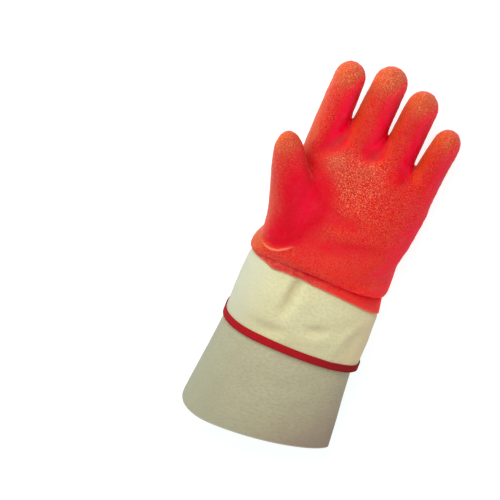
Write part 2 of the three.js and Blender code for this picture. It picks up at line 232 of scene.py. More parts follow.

# The pale lip where the coating pulls over the thumb's foot, a painted highlight, in the same form as
# the deep shade
HIGHLIGHT_LIP_LINES = [
    (0.55, [(-53.5, 14.5, 0.1), (-50, 14.0, 0.5), (-44.5, 14.5, 0.75), (-39, 16.2, 0.75),
            (-34.5, 19.6, 0.6), (-28.5, 24.1, 0.2)]),
]

# Soft folds of the outer cuff's upper side, in the form of the hand's lines
CUFF_LINES = [
    (4.4, [(-10.5, 2, 1.4), (-12.3, -4, 4.0), (-12.8, -12, 4.8), (-13.4, -21, 4.2), (-14.2, -29, 2.6),
           (-15, -37, 0.6)]),
    (9, [(-1, -4, -0.6), (-3, -17, -1.7), (-4, -30, -0.4)]),
    (5.5, [(-34, -50, 0.5), (-26, -50.6, 2.0), (-20, -50.4, 2.6), (-13, -49, 2.2), (-5, -46, 0.6)]),
    (5, [(7, -38, 0.5), (14, -36.5, 2.2), (20, -35, 2.6), (25.5, -33, 1.5), (30, -31, 0.3)]),
    (7, [(12, -45, -0.5), (24, -43, -1.2), (34, -40, -0.4)]),
    (4.5, [(51, -16, -0.5), (46.8, -24, -1.5), (42.5, -31, -2.2), (40.3, -39, -2.3), (39.2, -48, -1.9),
           (39, -56, -0.8)]),
    (5.5, [(57, -20, 0.4), (53, -28, 1.2), (50, -36, 1.6), (48.5, -45, 1.4), (48, -54, 0.5)]),
]

# Grids: points round a section, steps along it, points of a curve, and a digit's round end
HAND_AROUND = 120
DIGIT_AROUND = 64
CUFF_AROUND = 240
STEP = 1.5
WRIST_STEP = 2
CURVE_POINTS = 80
TURN_START = 0.02
TURN_ROWS = 12

# Voxels and rounds of smoothing for the hand's skin and for its hollow. Each round draws a point by
# the pull, as a share, towards the middle of its neighbours
OUTER_VOXEL = 1.0
INNER_VOXEL = 2.6
SKIN_ROUNDS = 24
HOLLOW_ROUNDS = 2
PULL = 0.5

# The padding's unevenness as (height, size of the waves, seed), and how far a seed moves the noise
PADDING_WAVES = [(0.3, 16, 1), (0.1, 5, 2), (0.25, 2.3, 3)]
SEED_SHIFT = (13.7, 5.3, 9.1)

# Where the palm's hollow starts and ends, and where the plug that clears the wrist starts
HOLLOW_START = 22
HOLLOW_END = 122
PLUG_START = -8

# How fast lines and paint fade where the surface turns away from above
LINES_FADE = 1.6
PAINT_FADE = 3

# The name of the cloth coordinates, and of the shares that meshes keep for the materials
CLOTH = "cloth"
DEEP_SHADE = "deep"
SHADE_FLANK = "shade_flank"
HOLLOW_SHADE = "hollow"
WEAR_AND_HIGHLIGHT = "wear_and_highlight"
GLINT = "glint"
PALE_AND_HIGHLIGHT = "pale_and_highlight"
LIT_SIDE = "lit_side"
SHADE = "shade"
FOLD_SHADE = "fold"

# The ways that painted-shade flanks and painted-light sides face, how far they have to face them, and
# the light's way
FLANK_WAY = np.array([1.3, -0.8, 0.0])
FLANK_FROM = 0.1
LIT_SIDE_WAY = np.array([-1.2, 0.5, 0.0])
LIT_SIDE_FROM = 0.3
LIGHT_WAY = np.array([-0.36, 0.56, 0.75])

# How often points are drawn in to find the hollows where shade is painted, how deep one starts and is
# full, and how fast it counts on a side that turns away from the light
NEAR_ROUNDS = 12
FAR_ROUNDS = 90
HOLLOW_DEPTHS = (0.05, 0.5)
UNLIT_GAIN = 1.4

# Paint of the hand. A pair is the x or y where a share starts to grow and the one where it is full
LOW_PALM = (75, 45)
LOW_PALM_PALE = 0.035
THUMB_ACROSS = (-33, -39)
THUMB_ALONG = (112, 102)
THUMB_CALM = 0.35
LOW_RIGHT_ACROSS = (0, 60)
LOW_RIGHT_ALONG = (18, 9)
LOW_RIGHT_MOST = 0.55
PALM_RIGHT_ACROSS = (-25, 5)
PALM_RIGHT_ALONG = (120, 110)
PALM_RIGHT_MOST = 0.06
DEEP_SHADE_HIDES_GLINT = 0.85
DEEP_SHADE_HIDES_HOLLOW_SHADE = 0.3

# The roll's underside, painted crimson as shade: how fast it grows as it faces the cuff, from what
# slope, and where
UNDER_ROLL_GAIN = 1.8
UNDER_ROLL_FROM = 0.3
UNDER_ROLL_ALONG = (14, 8)

# The dip of the band's lower edge: how far, where, its reach, and the z that it is above
BAND_DIP = 2.0
BAND_DIP_AT = -36
BAND_DIP_REACH = 6
BAND_DIP_ABOVE = 30

# Paint of the band, as pairs in x or away from its lower edge: painted shade, highlight and light
BAND_UNDER_ROLL = (4, 8)
BAND_HOLLOW_ACROSS = (-20, 30)
BAND_SHADE_ACROSS = (-15, 45)
BAND_SHADE_MOST = 0.8
BAND_EDGE_HIGHLIGHT = 0.45
BAND_LOWER_LIGHT = 0.07

# The depth where the painted shade of a fold of the outer cuff is darkest, and where shade is painted
# on the cloth without a fold, as pairs in x and in y
FOLD_FULL = 4
CUFF_SHADE_SPOTS = [((18, 3), (-36, -46)), ((43, 47), (-18, -24))]
CUFF_SHADE_MOST = 0.45

# The tape's fold: how far its corners are rounded off, and the rows along each side of it
TAPE_ROUNDING = 0.5
TAPE_ROWS = 6

# Where the gauntlet, under the outer cuff, starts to sink below the tape and has done so, and how far
# before the hem its own sections stop
SINK_ALONG = (-20, -50)
BEFORE_HEM = 6

# Colours of the coating
# Painted shade in the grain's dips
SHADED_DIP_RED = (0.45, 0.015, 0.045)
# Painted highlight on the grain's crests
LIT_CREST_RED = (0.57, 0.080, 0.063)
# Painted deep shade, and the colour of the coating's random mottling
SHADE_AND_MOTTLE_RED = (0.455, 0.023, 0.044)
# Painted shade on the flanks that face away from the lamp
SHADE_FLANK_RED = (0.77, 0.057, 0.098)
# Painted light on the sides that face the lamp
LIT_SIDE_RED = (0.56, 0.106, 0.045)
# Painted shade in hollows and under the roll
HOLLOW_SHADE_RED = (0.84, 0.064, 0.106)
SHADE_RED = (0.96, 0.048, 0.062)
# Wear together with a painted highlight
WEAR_AND_HIGHLIGHT_RED = (0.35, 0.088, 0.060)
# Painted glints
GLINT_RED = (0.95, 0.48, 0.33)
# Painted pale highlights
PALE_AND_HIGHLIGHT_RED = (0.72, 0.40, 0.28)

# The most that shares count for in the colour
WEAR_AND_HIGHLIGHT_MOST = 0.8
LIT_SIDE_MOST = 0.4
DEEP_SHADE_MOST = 0.85
SHADE_FLANK_MOST = 0.9
HOLLOW_SHADE_MOST = 0.9
MOTTLING_MOST = 0.3
FOLD_SHADE_MOST = 0.6

# The coating's noises: the fine grain and the painted glints against the coarse grain's size, the fine
# grain's share of the height, the height's share of the glints, the mottling's size in metres, and
# ranges
FINE_GRAIN = 2.7
GLINT_GRAIN = 0.75
FINE_SHARE = 0.3
GLINT_HEIGHT_SHARE = 0.4
MOTTLING_SIZE = 0.03
CREST_RANGE = (0.42, 0.57)
MOTTLING_RANGE = (0.35, 0.7)
GLINT_RANGE = (0.535, 0.63)
GLOSS_RANGE = (0.3, 0.7)

# How much relief is left where deep shade is painted, the roughness of the grain's dips and crests,
# and how much duller the coating is where deep shade and other shade are painted
DEEP_RELIEF = 0.25
GRAIN_ROUGHNESS = (0.5, 0.32)
DEEP_DULLS = 0.12
SHADE_DULLS = 0.4

# The cloths' noises, with sizes in millimetres: yarn that sways, in radians, fibres, slubs and clouds
SWAY_SIZE = 6
SWAY = 1.5
FIBRE_SIZE = 0.45
FIBRE_SHARE = 0.4
SLUB_SIZE = 2.2
SLUB_RANGE = (0.35, 0.7)
CLOUD_SIZE = 14
CLOUD_RANGE = (0.35, 0.75)
CLOUD_SHARE = 0.6

# The share of an edge's width where it counts fully
EDGE_FULL = 0.6

# Painted shade and light on the cloths: a direction, where along it in metres the painted tone starts
# and is full, its most and its colour. An edge is a painted highlight: a width, its most and its colour
CUFF_SHADING_TONES = [
    # Painted shade on the left
    ((-1.0, 0.0, 0.0), 0.02, 0.06, 0.8, (0.51, 0.53, 0.465)),
    # Painted light on the right
    ((1.0, 0.0, 0.0), 0.035, 0.07, 0.5, (0.83, 0.68, 0.47)),
]
# Painted shade towards the right
TAPE_SHADING_TONES = [((1.0, 0.0, 0.0), 0.0, 0.07, 0.8, (0.17, 0.014, 0.016))]
GAUNTLET_SHADING_TONES = [
    # Painted shade towards the mouth
    ((0.75, -0.66, 0.0), 0.09, 0.18, 0.9, (0.25, 0.19, 0.17)),
    # Painted shade on the left
    ((-1.0, -0.4, 0.0), 0.045, 0.11, 0.5, (0.33, 0.345, 0.29)),
]
# Painted highlight along the hem
GAUNTLET_HIGHLIGHT_EDGE = (1.3, 0.7, (0.66, 0.64, 0.56))

# The floor, in metres. It lies a little lower than the glove's underside
FLOOR_REACH = 3.0
FLOOR_HEIGHT = -0.0004
FLOOR_GREY = (0.3, 0.3, 0.3, 1)
FLOOR_GLOW = (0.95, 1.0, 1.0, 1)

# The camera: what it looks at in the glove's own frame, its lean from straight above, its roll, its
# distance in metres and its lens and sensor in millimetres
LOOK_AT = (-59, -8, 25)
TILT = math.radians(25)
ROLL = math.radians(24)
DISTANCE = 1.15
LENS = 100
SENSOR = 36

# The studio's light: one soft lamp, in metres and watts, and a sky that is dim and reddish on one side
LAMP_PLACE = (-0.22, 0.34, 0.46)
LAMP_TARGET = (0, 0.03, 0.03)
LAMP_SIZE = 0.42
LAMP_POWER = 3.38
LAMP_COLOUR = (0.98, 1.0, 0.90)
SKY_WAY = (-0.35, 0.35, 0.87)
SKY_REACH = 0.9
SKY_DIM = (0.82, 0.66, 0.64)
SKY_BRIGHT = (1.05, 1.0, 0.93)
SKY_STRENGTH = 0.66

# Colours of the picture are made this much stronger, as the photograph's are
SATURATION = 1.3

# Sockets of a Mix node that mixes colours: its share, its two colours and its result
MIX_SHARE = 0
MIX_FIRST = 6
MIX_SECOND = 7
MIX_RESULT = 2


# The shared frame's place of the glove's own origin, from the cuff's left side and the glove's mouth
cuff_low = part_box("outer_cuff")[0]
mouth_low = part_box("gauntlet")[0]
ORIGIN = np.array([
    cuff_low[0] / MM - min(row[LEFT] for row in OUTER_CUFF),
    mouth_low[1] / MM - GAUNTLET_HEM,
    0.0,
])


# Shape functions

def ramp(value, start, full):
    """A share that grows evenly from 0 where it starts to 1 where it is full."""
    return np.clip((value - start) / (full - start), 0, 1)


def on_smooth_curve(rows, places):
    """The columns of a table at places along its first column, on smooth curves through its rows."""
    table = np.array(rows, float)
    at = table[:, 0]
    slopes = np.gradient(table, at, axis=0)
    after = np.clip(np.searchsorted(at, places), 1, len(at) - 1)
    before = after - 1
    span = (at[after] - at[before])[:, None]
    t = (np.asarray(places, float)[:, None] - at[before][:, None]) / span
    start, end = table[before], table[after]
    return (
        start * (1 + 2 * t) * (1 - t) ** 2
        + end * t**2 * (3 - 2 * t)
        + slopes[before] * span * t * (1 - t) ** 2
        - slopes[after] * span * t**2 * (1 - t)
    )


def outline(count, fullness):
    """Points of a section's outline as shares of its reach across and above its centre."""
    angle = -2 * np.pi * np.arange(count) / count
    c, s = np.cos(angle), np.sin(angle)
    power = np.where(c < 0, 2 / fullness[0], 2 / fullness[1])
    return np.sign(c) * np.abs(c) ** power, np.sign(s) * np.abs(s) ** power


def nearest_on(start, end, x, y):
    """The share of a leg of a line that lies nearest to places, and the way from there to them."""
    way = (end - start)[:2]
    share = np.clip(((x - start[0]) * way[0] + (y - start[1]) * way[1]) / (way @ way), 0, 1)
    return share, x - start[0] - share * way[0], y - start[1] - share * way[1]


def line_rise(lines, x, y):
    """Height that drawn lines add at places, below 0 in a valley."""
    rise = np.zeros(np.shape(x))
    for width, points in lines:
        points = np.array(points, float)
        nearest = np.full(np.shape(x), np.inf)
        depth = np.zeros(np.shape(x))
        for start, end in zip(points[:-1], points[1:]):
            share, off_x, off_y = nearest_on(start, end, x, y)
            apart = off_x**2 + off_y**2
            nearer = apart < nearest
            nearest = np.where(nearer, apart, nearest)
            depth = np.where(nearer, start[2] + share * (end[2] - start[2]), depth)
        rise -= depth * np.exp(-nearest / width**2)
    return rise


def distance_to(line, x, y):
    """Distance from places to a line of points (x, y)."""
    nearest = np.full(np.shape(x), np.inf)
    for start, end in zip(np.array(line[:-1], float), np.array(line[1:], float)):
        _, off_x, off_y = nearest_on(start, end, x, y)
        nearest = np.minimum(nearest, np.hypot(off_x, off_y))
    return nearest


def pad_rise(x, y):
    """Height that the palm's pads add at places."""
    rise = np.zeros(np.shape(x))
    for pad_x, pad_y, across, along, height in PADS:
        rise += height * np.exp(-(((x - pad_x) / across) ** 2) - ((y - pad_y) / along) ** 2)
    return rise


def unevenness(points, size, seed):
    """Smooth noise from -1 to 1 at points, in waves of a size."""
    shift = Vector([seed * step for step in SEED_SHIFT])
    flat = points.reshape(-1, 3) / size
    values = np.array([noise.noise(Vector(point) + shift) for point in flat])
    return values.reshape(points.shape[:-1])


def cross_grid(table, height, fullness, count, relief):
    """Rows of points across the glove. height lifts them off the table's surface, and relief(x, y)
    is added to the upper side."""
    fullness = [np.broadcast_to(side, len(table)) for side in fullness]
    grid = []
    for i, row in enumerate(table):
        across, above = outline(count, (fullness[0][i], fullness[1][i]))
        lift = height[i] if np.ndim(height) else height
        reach_left = row[PEAK] - row[LEFT] + lift
        reach_right = row[RIGHT] - row[PEAK] + lift
        reach_up = row[TOP] - row[SIDE] + lift
        reach_down = row[SIDE] - row[BASE] + SAG + lift
        x = row[PEAK] + across * np.where(across < 0, reach_left, reach_right)
        lag = np.where(across < 0, row[LEFT_LAG], row[RIGHT_LAG])
        y = row[Y] - lag * across**2
        z = row[SIDE] + above * np.where(above < 0, reach_down, reach_up)
        z += relief(x, y) * np.maximum(0, above)
        grid.append(np.stack([x, y, np.maximum(z, row[BASE] - lift)], axis=1))
    return np.array(grid)


def rounded_share(distance, rounding):
    """How much of its full size a section has at a distance from a round end."""
    if rounding == 0:
        return np.ones(np.shape(distance))
    inward = np.clip(distance / rounding, 0, 1)
    return np.sqrt(1 - (1 - inward) ** 2)


def digit_grid(line, sizes, foot_rounding, tip_rounding, inset):
    """Rows of points round a finger or thumb, at right angles to its line, with rounded ends.
    sizes(share) gives the section's reach left, right, up and down."""
    steps = np.concatenate([[0], np.cumsum(np.linalg.norm(np.diff(line, axis=0), axis=1))])
    length = steps[-1]
    count = int(length / STEP)
    start = inset if foot_rounding else 0
    end = length - inset
    turn = np.linspace(TURN_START, math.pi / 2, TURN_ROWS)
    places = list(start + foot_rounding * (1 - np.cos(turn))) if foot_rounding else [0.0]
    places += list(np.linspace(start + foot_rounding, end - tip_rounding, count))[1:-1]
    places += list(end - tip_rounding * (1 - np.cos(turn[::-1])))
    across, above = outline(DIGIT_AROUND, (2, 2))
    grid = []
    for place in places:
        centre = np.array([np.interp(place, steps, line[:, k]) for k in range(3)])
        ahead = np.array([np.interp(min(place + 1, length), steps, line[:, k]) for k in range(3)])
        behind = np.array([np.interp(max(place - 1, 0), steps, line[:, k]) for k in range(3)])
        along = (ahead - behind) / np.linalg.norm(ahead - behind)
        side = np.cross(along, (0, 0, 1))
        side /= np.linalg.norm(side)
        lift = np.cross(side, along)
        share = rounded_share(place - start, foot_rounding) * rounded_share(end - place, tip_rounding)
        left, right, up, down = (np.array(sizes(place / length)) - inset) * share
        offset_side = across * np.where(across < 0, left, right)
        offset_lift = above * np.where(above < 0, down, up)
        ring = centre + offset_side[:, None] * side + offset_lift[:, None] * lift
        ring[:, 2] = np.maximum(ring[:, 2], inset)
        grid.append(ring)
    return np.array(grid)


def bezier(points):
    """A curve that starts at the first point, heads for the second and ends at the third."""
    a, b, c = np.array(points, float)
    t = np.linspace(0, 1, CURVE_POINTS)[:, None]
    return a * (1 - t) ** 2 + 2 * b * t * (1 - t) + c * t**2


def through_points(points):
    """A smooth curve through points, evenly spaced in its parameter."""
    rows = [(i, *point) for i, point in enumerate(points)]
    return on_smooth_curve(rows, np.linspace(0, len(points) - 1, CURVE_POINTS))[:, 1:]


# Mesh functions

def tube_faces(rows, columns, closed):
    """Quads over a grid that closes round its columns, and round its rows too if it is closed."""
    i = np.arange(rows if closed else rows - 1)[:, None]
    j = np.arange(columns)[None, :]
    i_next, j_next = (i + 1) % rows, (j + 1) % columns
    corners = [i * columns + j, i * columns + j_next, i_next * columns + j_next, i_next * columns + j]
    return np.stack([np.broadcast_to(c, (len(i), columns)) for c in corners], axis=-1).reshape(-1, 4)


def capped(grid):
    """A closed form from rows of points, with a flat cap at both ends."""
    rows, columns = grid.shape[:2]
    faces = [tuple(face) for face in tube_faces(rows, columns, False)]
    faces.append(tuple(range(columns))[::-1])
    faces.append(tuple(range((rows - 1) * columns, rows * columns)))
    return grid.reshape(-1, 3), faces


def object_from(name, points, faces):
    """A new object from points in millimetres in the glove's own frame."""
    mesh = bpy.data.meshes.new(name)
    mesh.from_pydata(((points + ORIGIN) * MM).tolist(), [], [tuple(map(int, face)) for face in faces])
    mesh.validate()
    made = bpy.data.objects.new(name, mesh)
    scene.collection.objects.link(made)
    return made


def joined(name, forms):
    """One object that holds several closed forms."""
    points, faces, first = [], [], 0
    for form_points, form_faces in forms:
        points.append(form_points)
        faces += [tuple(corner + first for corner in face) for face in form_faces]
        first += len(form_points)
    return object_from(name, np.concatenate(points), faces)


def apply_modifiers(made):
    """Keeps what an object's modifiers make of it as its mesh."""
    bpy.context.view_layer.update()
    seen = made.evaluated_get(bpy.context.evaluated_depsgraph_get())
    mesh = bpy.data.meshes.new_from_object(seen)
    made.modifiers.clear()
    old = made.data
    made.data = mesh
    bpy.data.meshes.remove(old)


def remeshed(made, voxel):
    """Gives forms that overlap one skin, built on a grid of voxels of a size."""
    modifier = made.modifiers.new("skin", "REMESH")
    modifier.mode = "VOXEL"
    modifier.voxel_size = voxel * MM
    apply_modifiers(made)


def numbers_of(items, name, width, kind=float):
    """What each of a mesh's points or edges keeps under a name, as rows of numbers."""
    values = np.empty(len(items) * width, kind)
    items.foreach_get(name, values)
    return values.reshape(-1, width)


def points_of(made):
    """An object's points in millimetres in the glove's own frame."""
    return numbers_of(made.data.vertices, "co", 3) / MM - ORIGIN


def normals_of(made):
    return numbers_of(made.data.vertices, "normal", 3)


def set_points(made, points):
    made.data.vertices.foreach_set("co", ((points + ORIGIN) * MM).ravel())
    made.data.update()


def drawn_in(made, rounds, share=None):
    """An object's points, each drawn towards the middle of its neighbours by a share of its own."""
    edges = numbers_of(made.data.edges, "vertices", 2, np.int64)
    ends, others = np.concatenate([edges, edges[:, ::-1]]).T
    points = points_of(made)
    count = np.bincount(ends, minlength=len(points))[:, None]
    share = PULL if share is None else PULL * share[:, None]
    for _ in range(rounds):
        middle = np.stack(
            [np.bincount(ends, points[others, k], minlength=len(points)) for k in range(3)], axis=1
        ) / count
        points += share * (middle - points)
    return points


def smoothed(made, rounds, share=None):
    """Draws an object's points in, for good."""
    set_points(made, drawn_in(made, rounds, share))


def keep_largest_part(made):
    """Drops crumbs that a cut has left apart from the main surface."""
    mesh = bmesh.new()
    mesh.from_mesh(made.data)
    unseen = set(mesh.verts)
    parts = []
    while unseen:
        front = [unseen.pop()]
        part = []
        while front:
            vert = front.pop()
            part.append(vert)
            for edge in vert.link_edges:
                other = edge.other_vert(vert)
                if other in unseen:
                    unseen.remove(other)
                    front.append(other)
        parts.append(part)
    parts.sort(key=len)
    crumbs = [vert for part in parts[:-1] for vert in part]
    bmesh.ops.delete(mesh, geom=crumbs, context="VERTS")
    mesh.to_mesh(made.data)
    mesh.free()


def set_share(made, name, share):
    """Keeps a share from 0 to 1 at each point, for the material."""
    layer = made.data.attributes.new(name, "FLOAT", "POINT")
    layer.data.foreach_set("value", np.clip(share, 0, 1))


def facing_up(normals, fade):
    """A share that is 1 where a surface faces up and 0 where it faces sideways or down."""
    return np.clip(normals[:, 2] * fade, 0, 1)


# The hand

def finger_sizes(wide, deep):
    """The reach of a finger's section left, right, up and down at a share of its length."""
    def sizes(share):
        across = wide[0] + (wide[1] - wide[0]) * share
        above = deep[0] + (deep[1] - deep[0]) * share
        return across, across, above, above
    return sizes


def thumb_sizes(share):
    """The same for the thumb."""
    return on_smooth_curve(THUMB_SIZES, [share])[0, 1:]


def hand_forms(palm_places, inset):
    """Palm, fingers and thumb as closed forms that overlap, all smaller by an inset."""
    palm = on_smooth_curve(PALM, palm_places)
    forms = [capped(cross_grid(palm, -inset, PALM_FULLNESS, HAND_AROUND, pad_rise))]
    for line, wide, deep in FINGERS:
        sizes = finger_sizes(wide, deep)
        forms.append(capped(digit_grid(bezier(line), sizes, 0, FINGERTIP_ROUNDING, inset)))
    thumb_line = through_points(THUMB_LINE)
    thumb = digit_grid(thumb_line, thumb_sizes, THUMB_FOOT_ROUNDING, THUMB_TIP_ROUNDING, inset)
    forms.append(capped(thumb))
    return forms


def part_fingers(points):
    """Draws the slits between the fingers towards the palm."""
    for x, y, deeper in CROTCHES:
        across, along = (points[:, 0] - x) / CROTCH_ACROSS, (points[:, 1] - y) / CROTCH_ALONG
        points[:, 1] -= deeper * np.exp(-(across**2) - along**2)


def raise_roll(points):
    """Draws the middle of the roll's upper edge towards the palm."""
    near = np.exp(-(((points[:, 0] - ROLL_RISE_AT) / ROLL_RISE_REACH) ** 4))
    near *= ramp(points[:, 1], *ROLL_RISE_ALONG) * ramp(points[:, 2], *ROLL_RISE_ABOVE)
    points[:, 1] += ROLL_RISE * near


def round_thumb_crease(hand):
    """Smooths the surface far more beside the thumb than elsewhere."""
    points = points_of(hand)
    from_crease = distance_to(THUMB_CREASE, points[:, 0], points[:, 1])
    share = np.exp(-((from_crease / CREASE_REACH) ** 2)) * ramp(points[:, 2], *CREASE_ABOVE)
    smoothed(hand, CREASE_ROUNDS, share)


def draw_relief(hand):
    """Draws the hand's lines into its upper side and makes its padding uneven."""
    points, normals = points_of(hand), normals_of(hand)
    rise = line_rise(HAND_LINES, points[:, 0], points[:, 1]) * facing_up(normals, LINES_FADE)
    for height, size, seed in PADDING_WAVES:
        rise += height * unevenness(points, size, seed)
    points += normals * rise[:, None]
    points[:, 2] = np.maximum(points[:, 2], 0)
    set_points(hand, points)


def hollow_out(hand):
    """Cuts the hollow out of the hand, and the room for the band and the cuffs out of its wrist."""
    hollow = joined("hollow", hand_forms(np.arange(HOLLOW_START, HOLLOW_END, STEP), HAND_WALL))
    wrist = cuff_table(np.arange(PLUG_START, CUFFS_START + 1, WRIST_STEP))
    room = cross_grid(wrist, BAND_WALL + 2 * GAP, CUFF_FULLNESS, CUFF_AROUND // 2, cuff_relief)
    plug = joined("wrist_plug", [capped(room)])
    remeshed(hollow, INNER_VOXEL)
    smoothed(hollow, HOLLOW_ROUNDS)
    for cutter in (hollow, plug):
        cut = hand.modifiers.new("cut", "BOOLEAN")
        cut.operation = "DIFFERENCE"
        cut.solver = "MANIFOLD"
        cut.object = cutter
        apply_modifiers(hand)
        bpy.data.objects.remove(cutter)
    keep_largest_part(hand)


def paint_spots(x, y):
    """Wear with a painted highlight, painted glints and painted pale highlights at places of the hand.
    """
    wear_and_highlight, pale_and_highlight = np.zeros((2, len(x)))
    glint = np.full(len(x), LEAST_GLINT)
    for at_x, at_y, reach, wear_and_highlight_amount, glint_amount, paleness in WEAR_AND_HIGHLIGHT_SPOTS:
        near = np.exp(-((x - at_x) ** 2 + (y - at_y) ** 2) / reach**2)
        wear_and_highlight += wear_and_highlight_amount * near
        glint += glint_amount * near
        pale_and_highlight += paleness * near
    return wear_and_highlight, glint, pale_and_highlight


def hollowness(made, normals):
    """How deep each point lies in a hollow of the surface, from 0 to 1."""
    way = drawn_in(made, FAR_ROUNDS) - drawn_in(made, NEAR_ROUNDS)
    return ramp((way * normals).sum(axis=1), *HOLLOW_DEPTHS)


def paint_hand(hand):
    """Keeps the coating's shares at the hand's points."""
    points, normals = points_of(hand), normals_of(hand)
    x, y = points[:, 0], points[:, 1]
    upper = facing_up(normals, PAINT_FADE)
    wear_and_highlight, glint, pale_and_highlight = paint_spots(x, y)
    pale_and_highlight += LOW_PALM_PALE * ramp(y, *LOW_PALM)
    # Painted shade: deep red along the fingers' shaded sides, beside the thumb and in valleys
    deep = np.clip(-line_rise(DEEP_SHADE_LINES, x, y) * upper, 0, 1)
    # Painted glints, fewer where deep shade is painted
    set_share(hand, GLINT, glint * (1 - DEEP_SHADE_HIDES_GLINT * deep))
    set_share(hand, DEEP_SHADE, deep)

    off_thumb = 1 - THUMB_CALM * ramp(x, *THUMB_ACROSS) * ramp(y, *THUMB_ALONG)
    # Painted shade: crimson on the sides that face away from the lamp, less on the thumb
    set_share(hand, SHADE_FLANK, (normals @ FLANK_WAY - FLANK_FROM) * off_thumb)
    # Painted shade on the roll's underside, where it faces the cuff
    shade_under_roll = np.clip(-UNDER_ROLL_GAIN * normals[:, 1] - UNDER_ROLL_FROM, 0, 1)
    shade_under_roll *= ramp(y, *UNDER_ROLL_ALONG)
    # Painted shade in the hollows and under the roll, where they face away from the lamp
    hollow = np.maximum(hollowness(hand, normals), shade_under_roll)
    unlit = np.clip(UNLIT_GAIN * (1 - np.clip(normals @ LIGHT_WAY, 0, 1)), 0, 1)
    set_share(hand, HOLLOW_SHADE, hollow * unlit * off_thumb * (1 - DEEP_SHADE_HIDES_HOLLOW_SHADE * deep))
    # Painted light: orange on the sides that face the lamp
    set_share(hand, LIT_SIDE, normals @ LIT_SIDE_WAY - LIT_SIDE_FROM)

    low_right = ramp(y, *LOW_RIGHT_ALONG) * np.minimum(ramp(x, *LOW_RIGHT_ACROSS), LOW_RIGHT_MOST)
    palm_right = PALM_RIGHT_MOST * ramp(x, *PALM_RIGHT_ACROSS) * ramp(y, *PALM_RIGHT_ALONG)
    set_share(hand, SHADE, np.maximum(low_right, palm_right))
    # Wear together with a painted highlight at the fingertips, the pads and the roll's left end
    set_share(hand, WEAR_AND_HIGHLIGHT, wear_and_highlight * upper)
    # Painted pale highlights at the lip of the thumb's foot and the pads, and paler towards the lower
    # palm
    set_share(hand, PALE_AND_HIGHLIGHT, (pale_and_highlight * (1 - deep) - line_rise(HIGHLIGHT_LIP_LINES, x, y)) * upper)


def make_hand():
    hand = joined("hand", hand_forms(np.arange(HAND_EDGE, PALM[-1][Y], STEP), 0))
    remeshed(hand, OUTER_VOXEL)
    smoothed(hand, SKIN_ROUNDS)
    points = points_of(hand)
    part_fingers(points)
    raise_roll(points)
    set_points(hand, points)
    round_thumb_crease(hand)
    draw_relief(hand)
    hollow_out(hand)
    paint_hand(hand)
    hand.data.shade_smooth()
    return hand


# The band and the cuffs

def cuff_table(places):
    return on_smooth_curve(OUTER_CUFF, places)


def cuff_relief(x, y):
    return line_rise(CUFF_LINES, x, y)


def cuff_rows(places, height):
    return cross_grid(cuff_table(places), height, CUFF_FULLNESS, CUFF_AROUND, cuff_relief)


def wall(name, rows):
    """A closed wall from rows of points that run up its outer face and back down the inner one. Its
    cloth coordinates run round and along the wall in millimetres."""
    count, around = rows.shape[:2]
    made = object_from(name, rows.reshape(-1, 3), tube_faces(count, around, True))
    made.data.shade_smooth()
    ring = np.linalg.norm(np.roll(rows, -1, axis=1) - rows, axis=2).sum(axis=1).mean()
    steps = np.linalg.norm(np.diff(rows, axis=0), axis=2).mean(axis=1)
    along = np.concatenate([[0], np.cumsum(steps), [steps.sum()]])
    i, j = np.divmod(np.arange(count * around), around)
    u = np.stack([j, j + 1, j + 1, j], axis=1) * ring / around
    v = np.stack([along[i], along[i], along[i + 1], along[i + 1]], axis=1)
    layer = made.data.uv_layers.new(name=CLOTH)
    layer.data.foreach_set("uv", np.stack([u, v], axis=2).ravel())
    return made


def make_band():
    places = np.arange(BAND_EDGE, BAND_START, STEP)
    outer = cuff_rows(places, GAP + BAND_WALL)
    inner = cuff_rows(places, GAP)[::-1]
    rows = np.concatenate([outer, inner])
    for edge in (rows[0], rows[1], rows[-1], rows[-2]):
        dip = np.exp(-(((edge[:, 0] - BAND_DIP_AT) / BAND_DIP_REACH) ** 2))
        edge[:, 1] -= BAND_DIP * dip * (edge[:, 2] > BAND_DIP_ABOVE)
    band = wall("band", rows)
    x, normals = points_of(band)[:, 0], normals_of(band)
    from_edge = np.repeat(np.concatenate([places, places[::-1]]) - BAND_EDGE, CUFF_AROUND)
    # Painted shade on the band under the roll
    shade_under_roll = ramp(from_edge, *BAND_UNDER_ROLL)
    # Painted shade on the band's sides that face away from the lamp
    set_share(band, SHADE_FLANK, normals @ FLANK_WAY - FLANK_FROM)
    set_share(band, DEEP_SHADE, shade_under_roll)
    # Painted shade under the roll, growing to the right
    set_share(band, HOLLOW_SHADE, shade_under_roll * ramp(x, *BAND_HOLLOW_ACROSS))
    set_share(band, SHADE, np.minimum(ramp(x, *BAND_SHADE_ACROSS), BAND_SHADE_MOST))
    # Painted highlight along the band's lower edge and painted light below the roll's shade
    set_share(band, PALE_AND_HIGHLIGHT, BAND_EDGE_HIGHLIGHT * (from_edge == 0) + BAND_LOWER_LIGHT * (1 - shade_under_roll))
    return band


def make_outer_cuff():
    places = np.arange(CUFF_HEM, CUFFS_START, STEP)
    outer = cuff_rows(places, 0)
    inner = cuff_rows(places, -OUTER_CUFF_WALL)[::-1]
    cuff = wall("short_cuff", np.concatenate([outer, inner]))
    points = points_of(cuff)
    x, y = points[:, 0], points[:, 1]
    # Painted shade in the folds' valleys and at the cuff's lower left and lower right
    dark = -cuff_relief(x, y) / FOLD_FULL
    for across, along in CUFF_SHADE_SPOTS:
        dark = np.maximum(dark, CUFF_SHADE_MOST * ramp(x, *across) * ramp(y, *along))
    set_share(cuff, FOLD_SHADE, dark * facing_up(normals_of(cuff), PAINT_FADE))
    return cuff


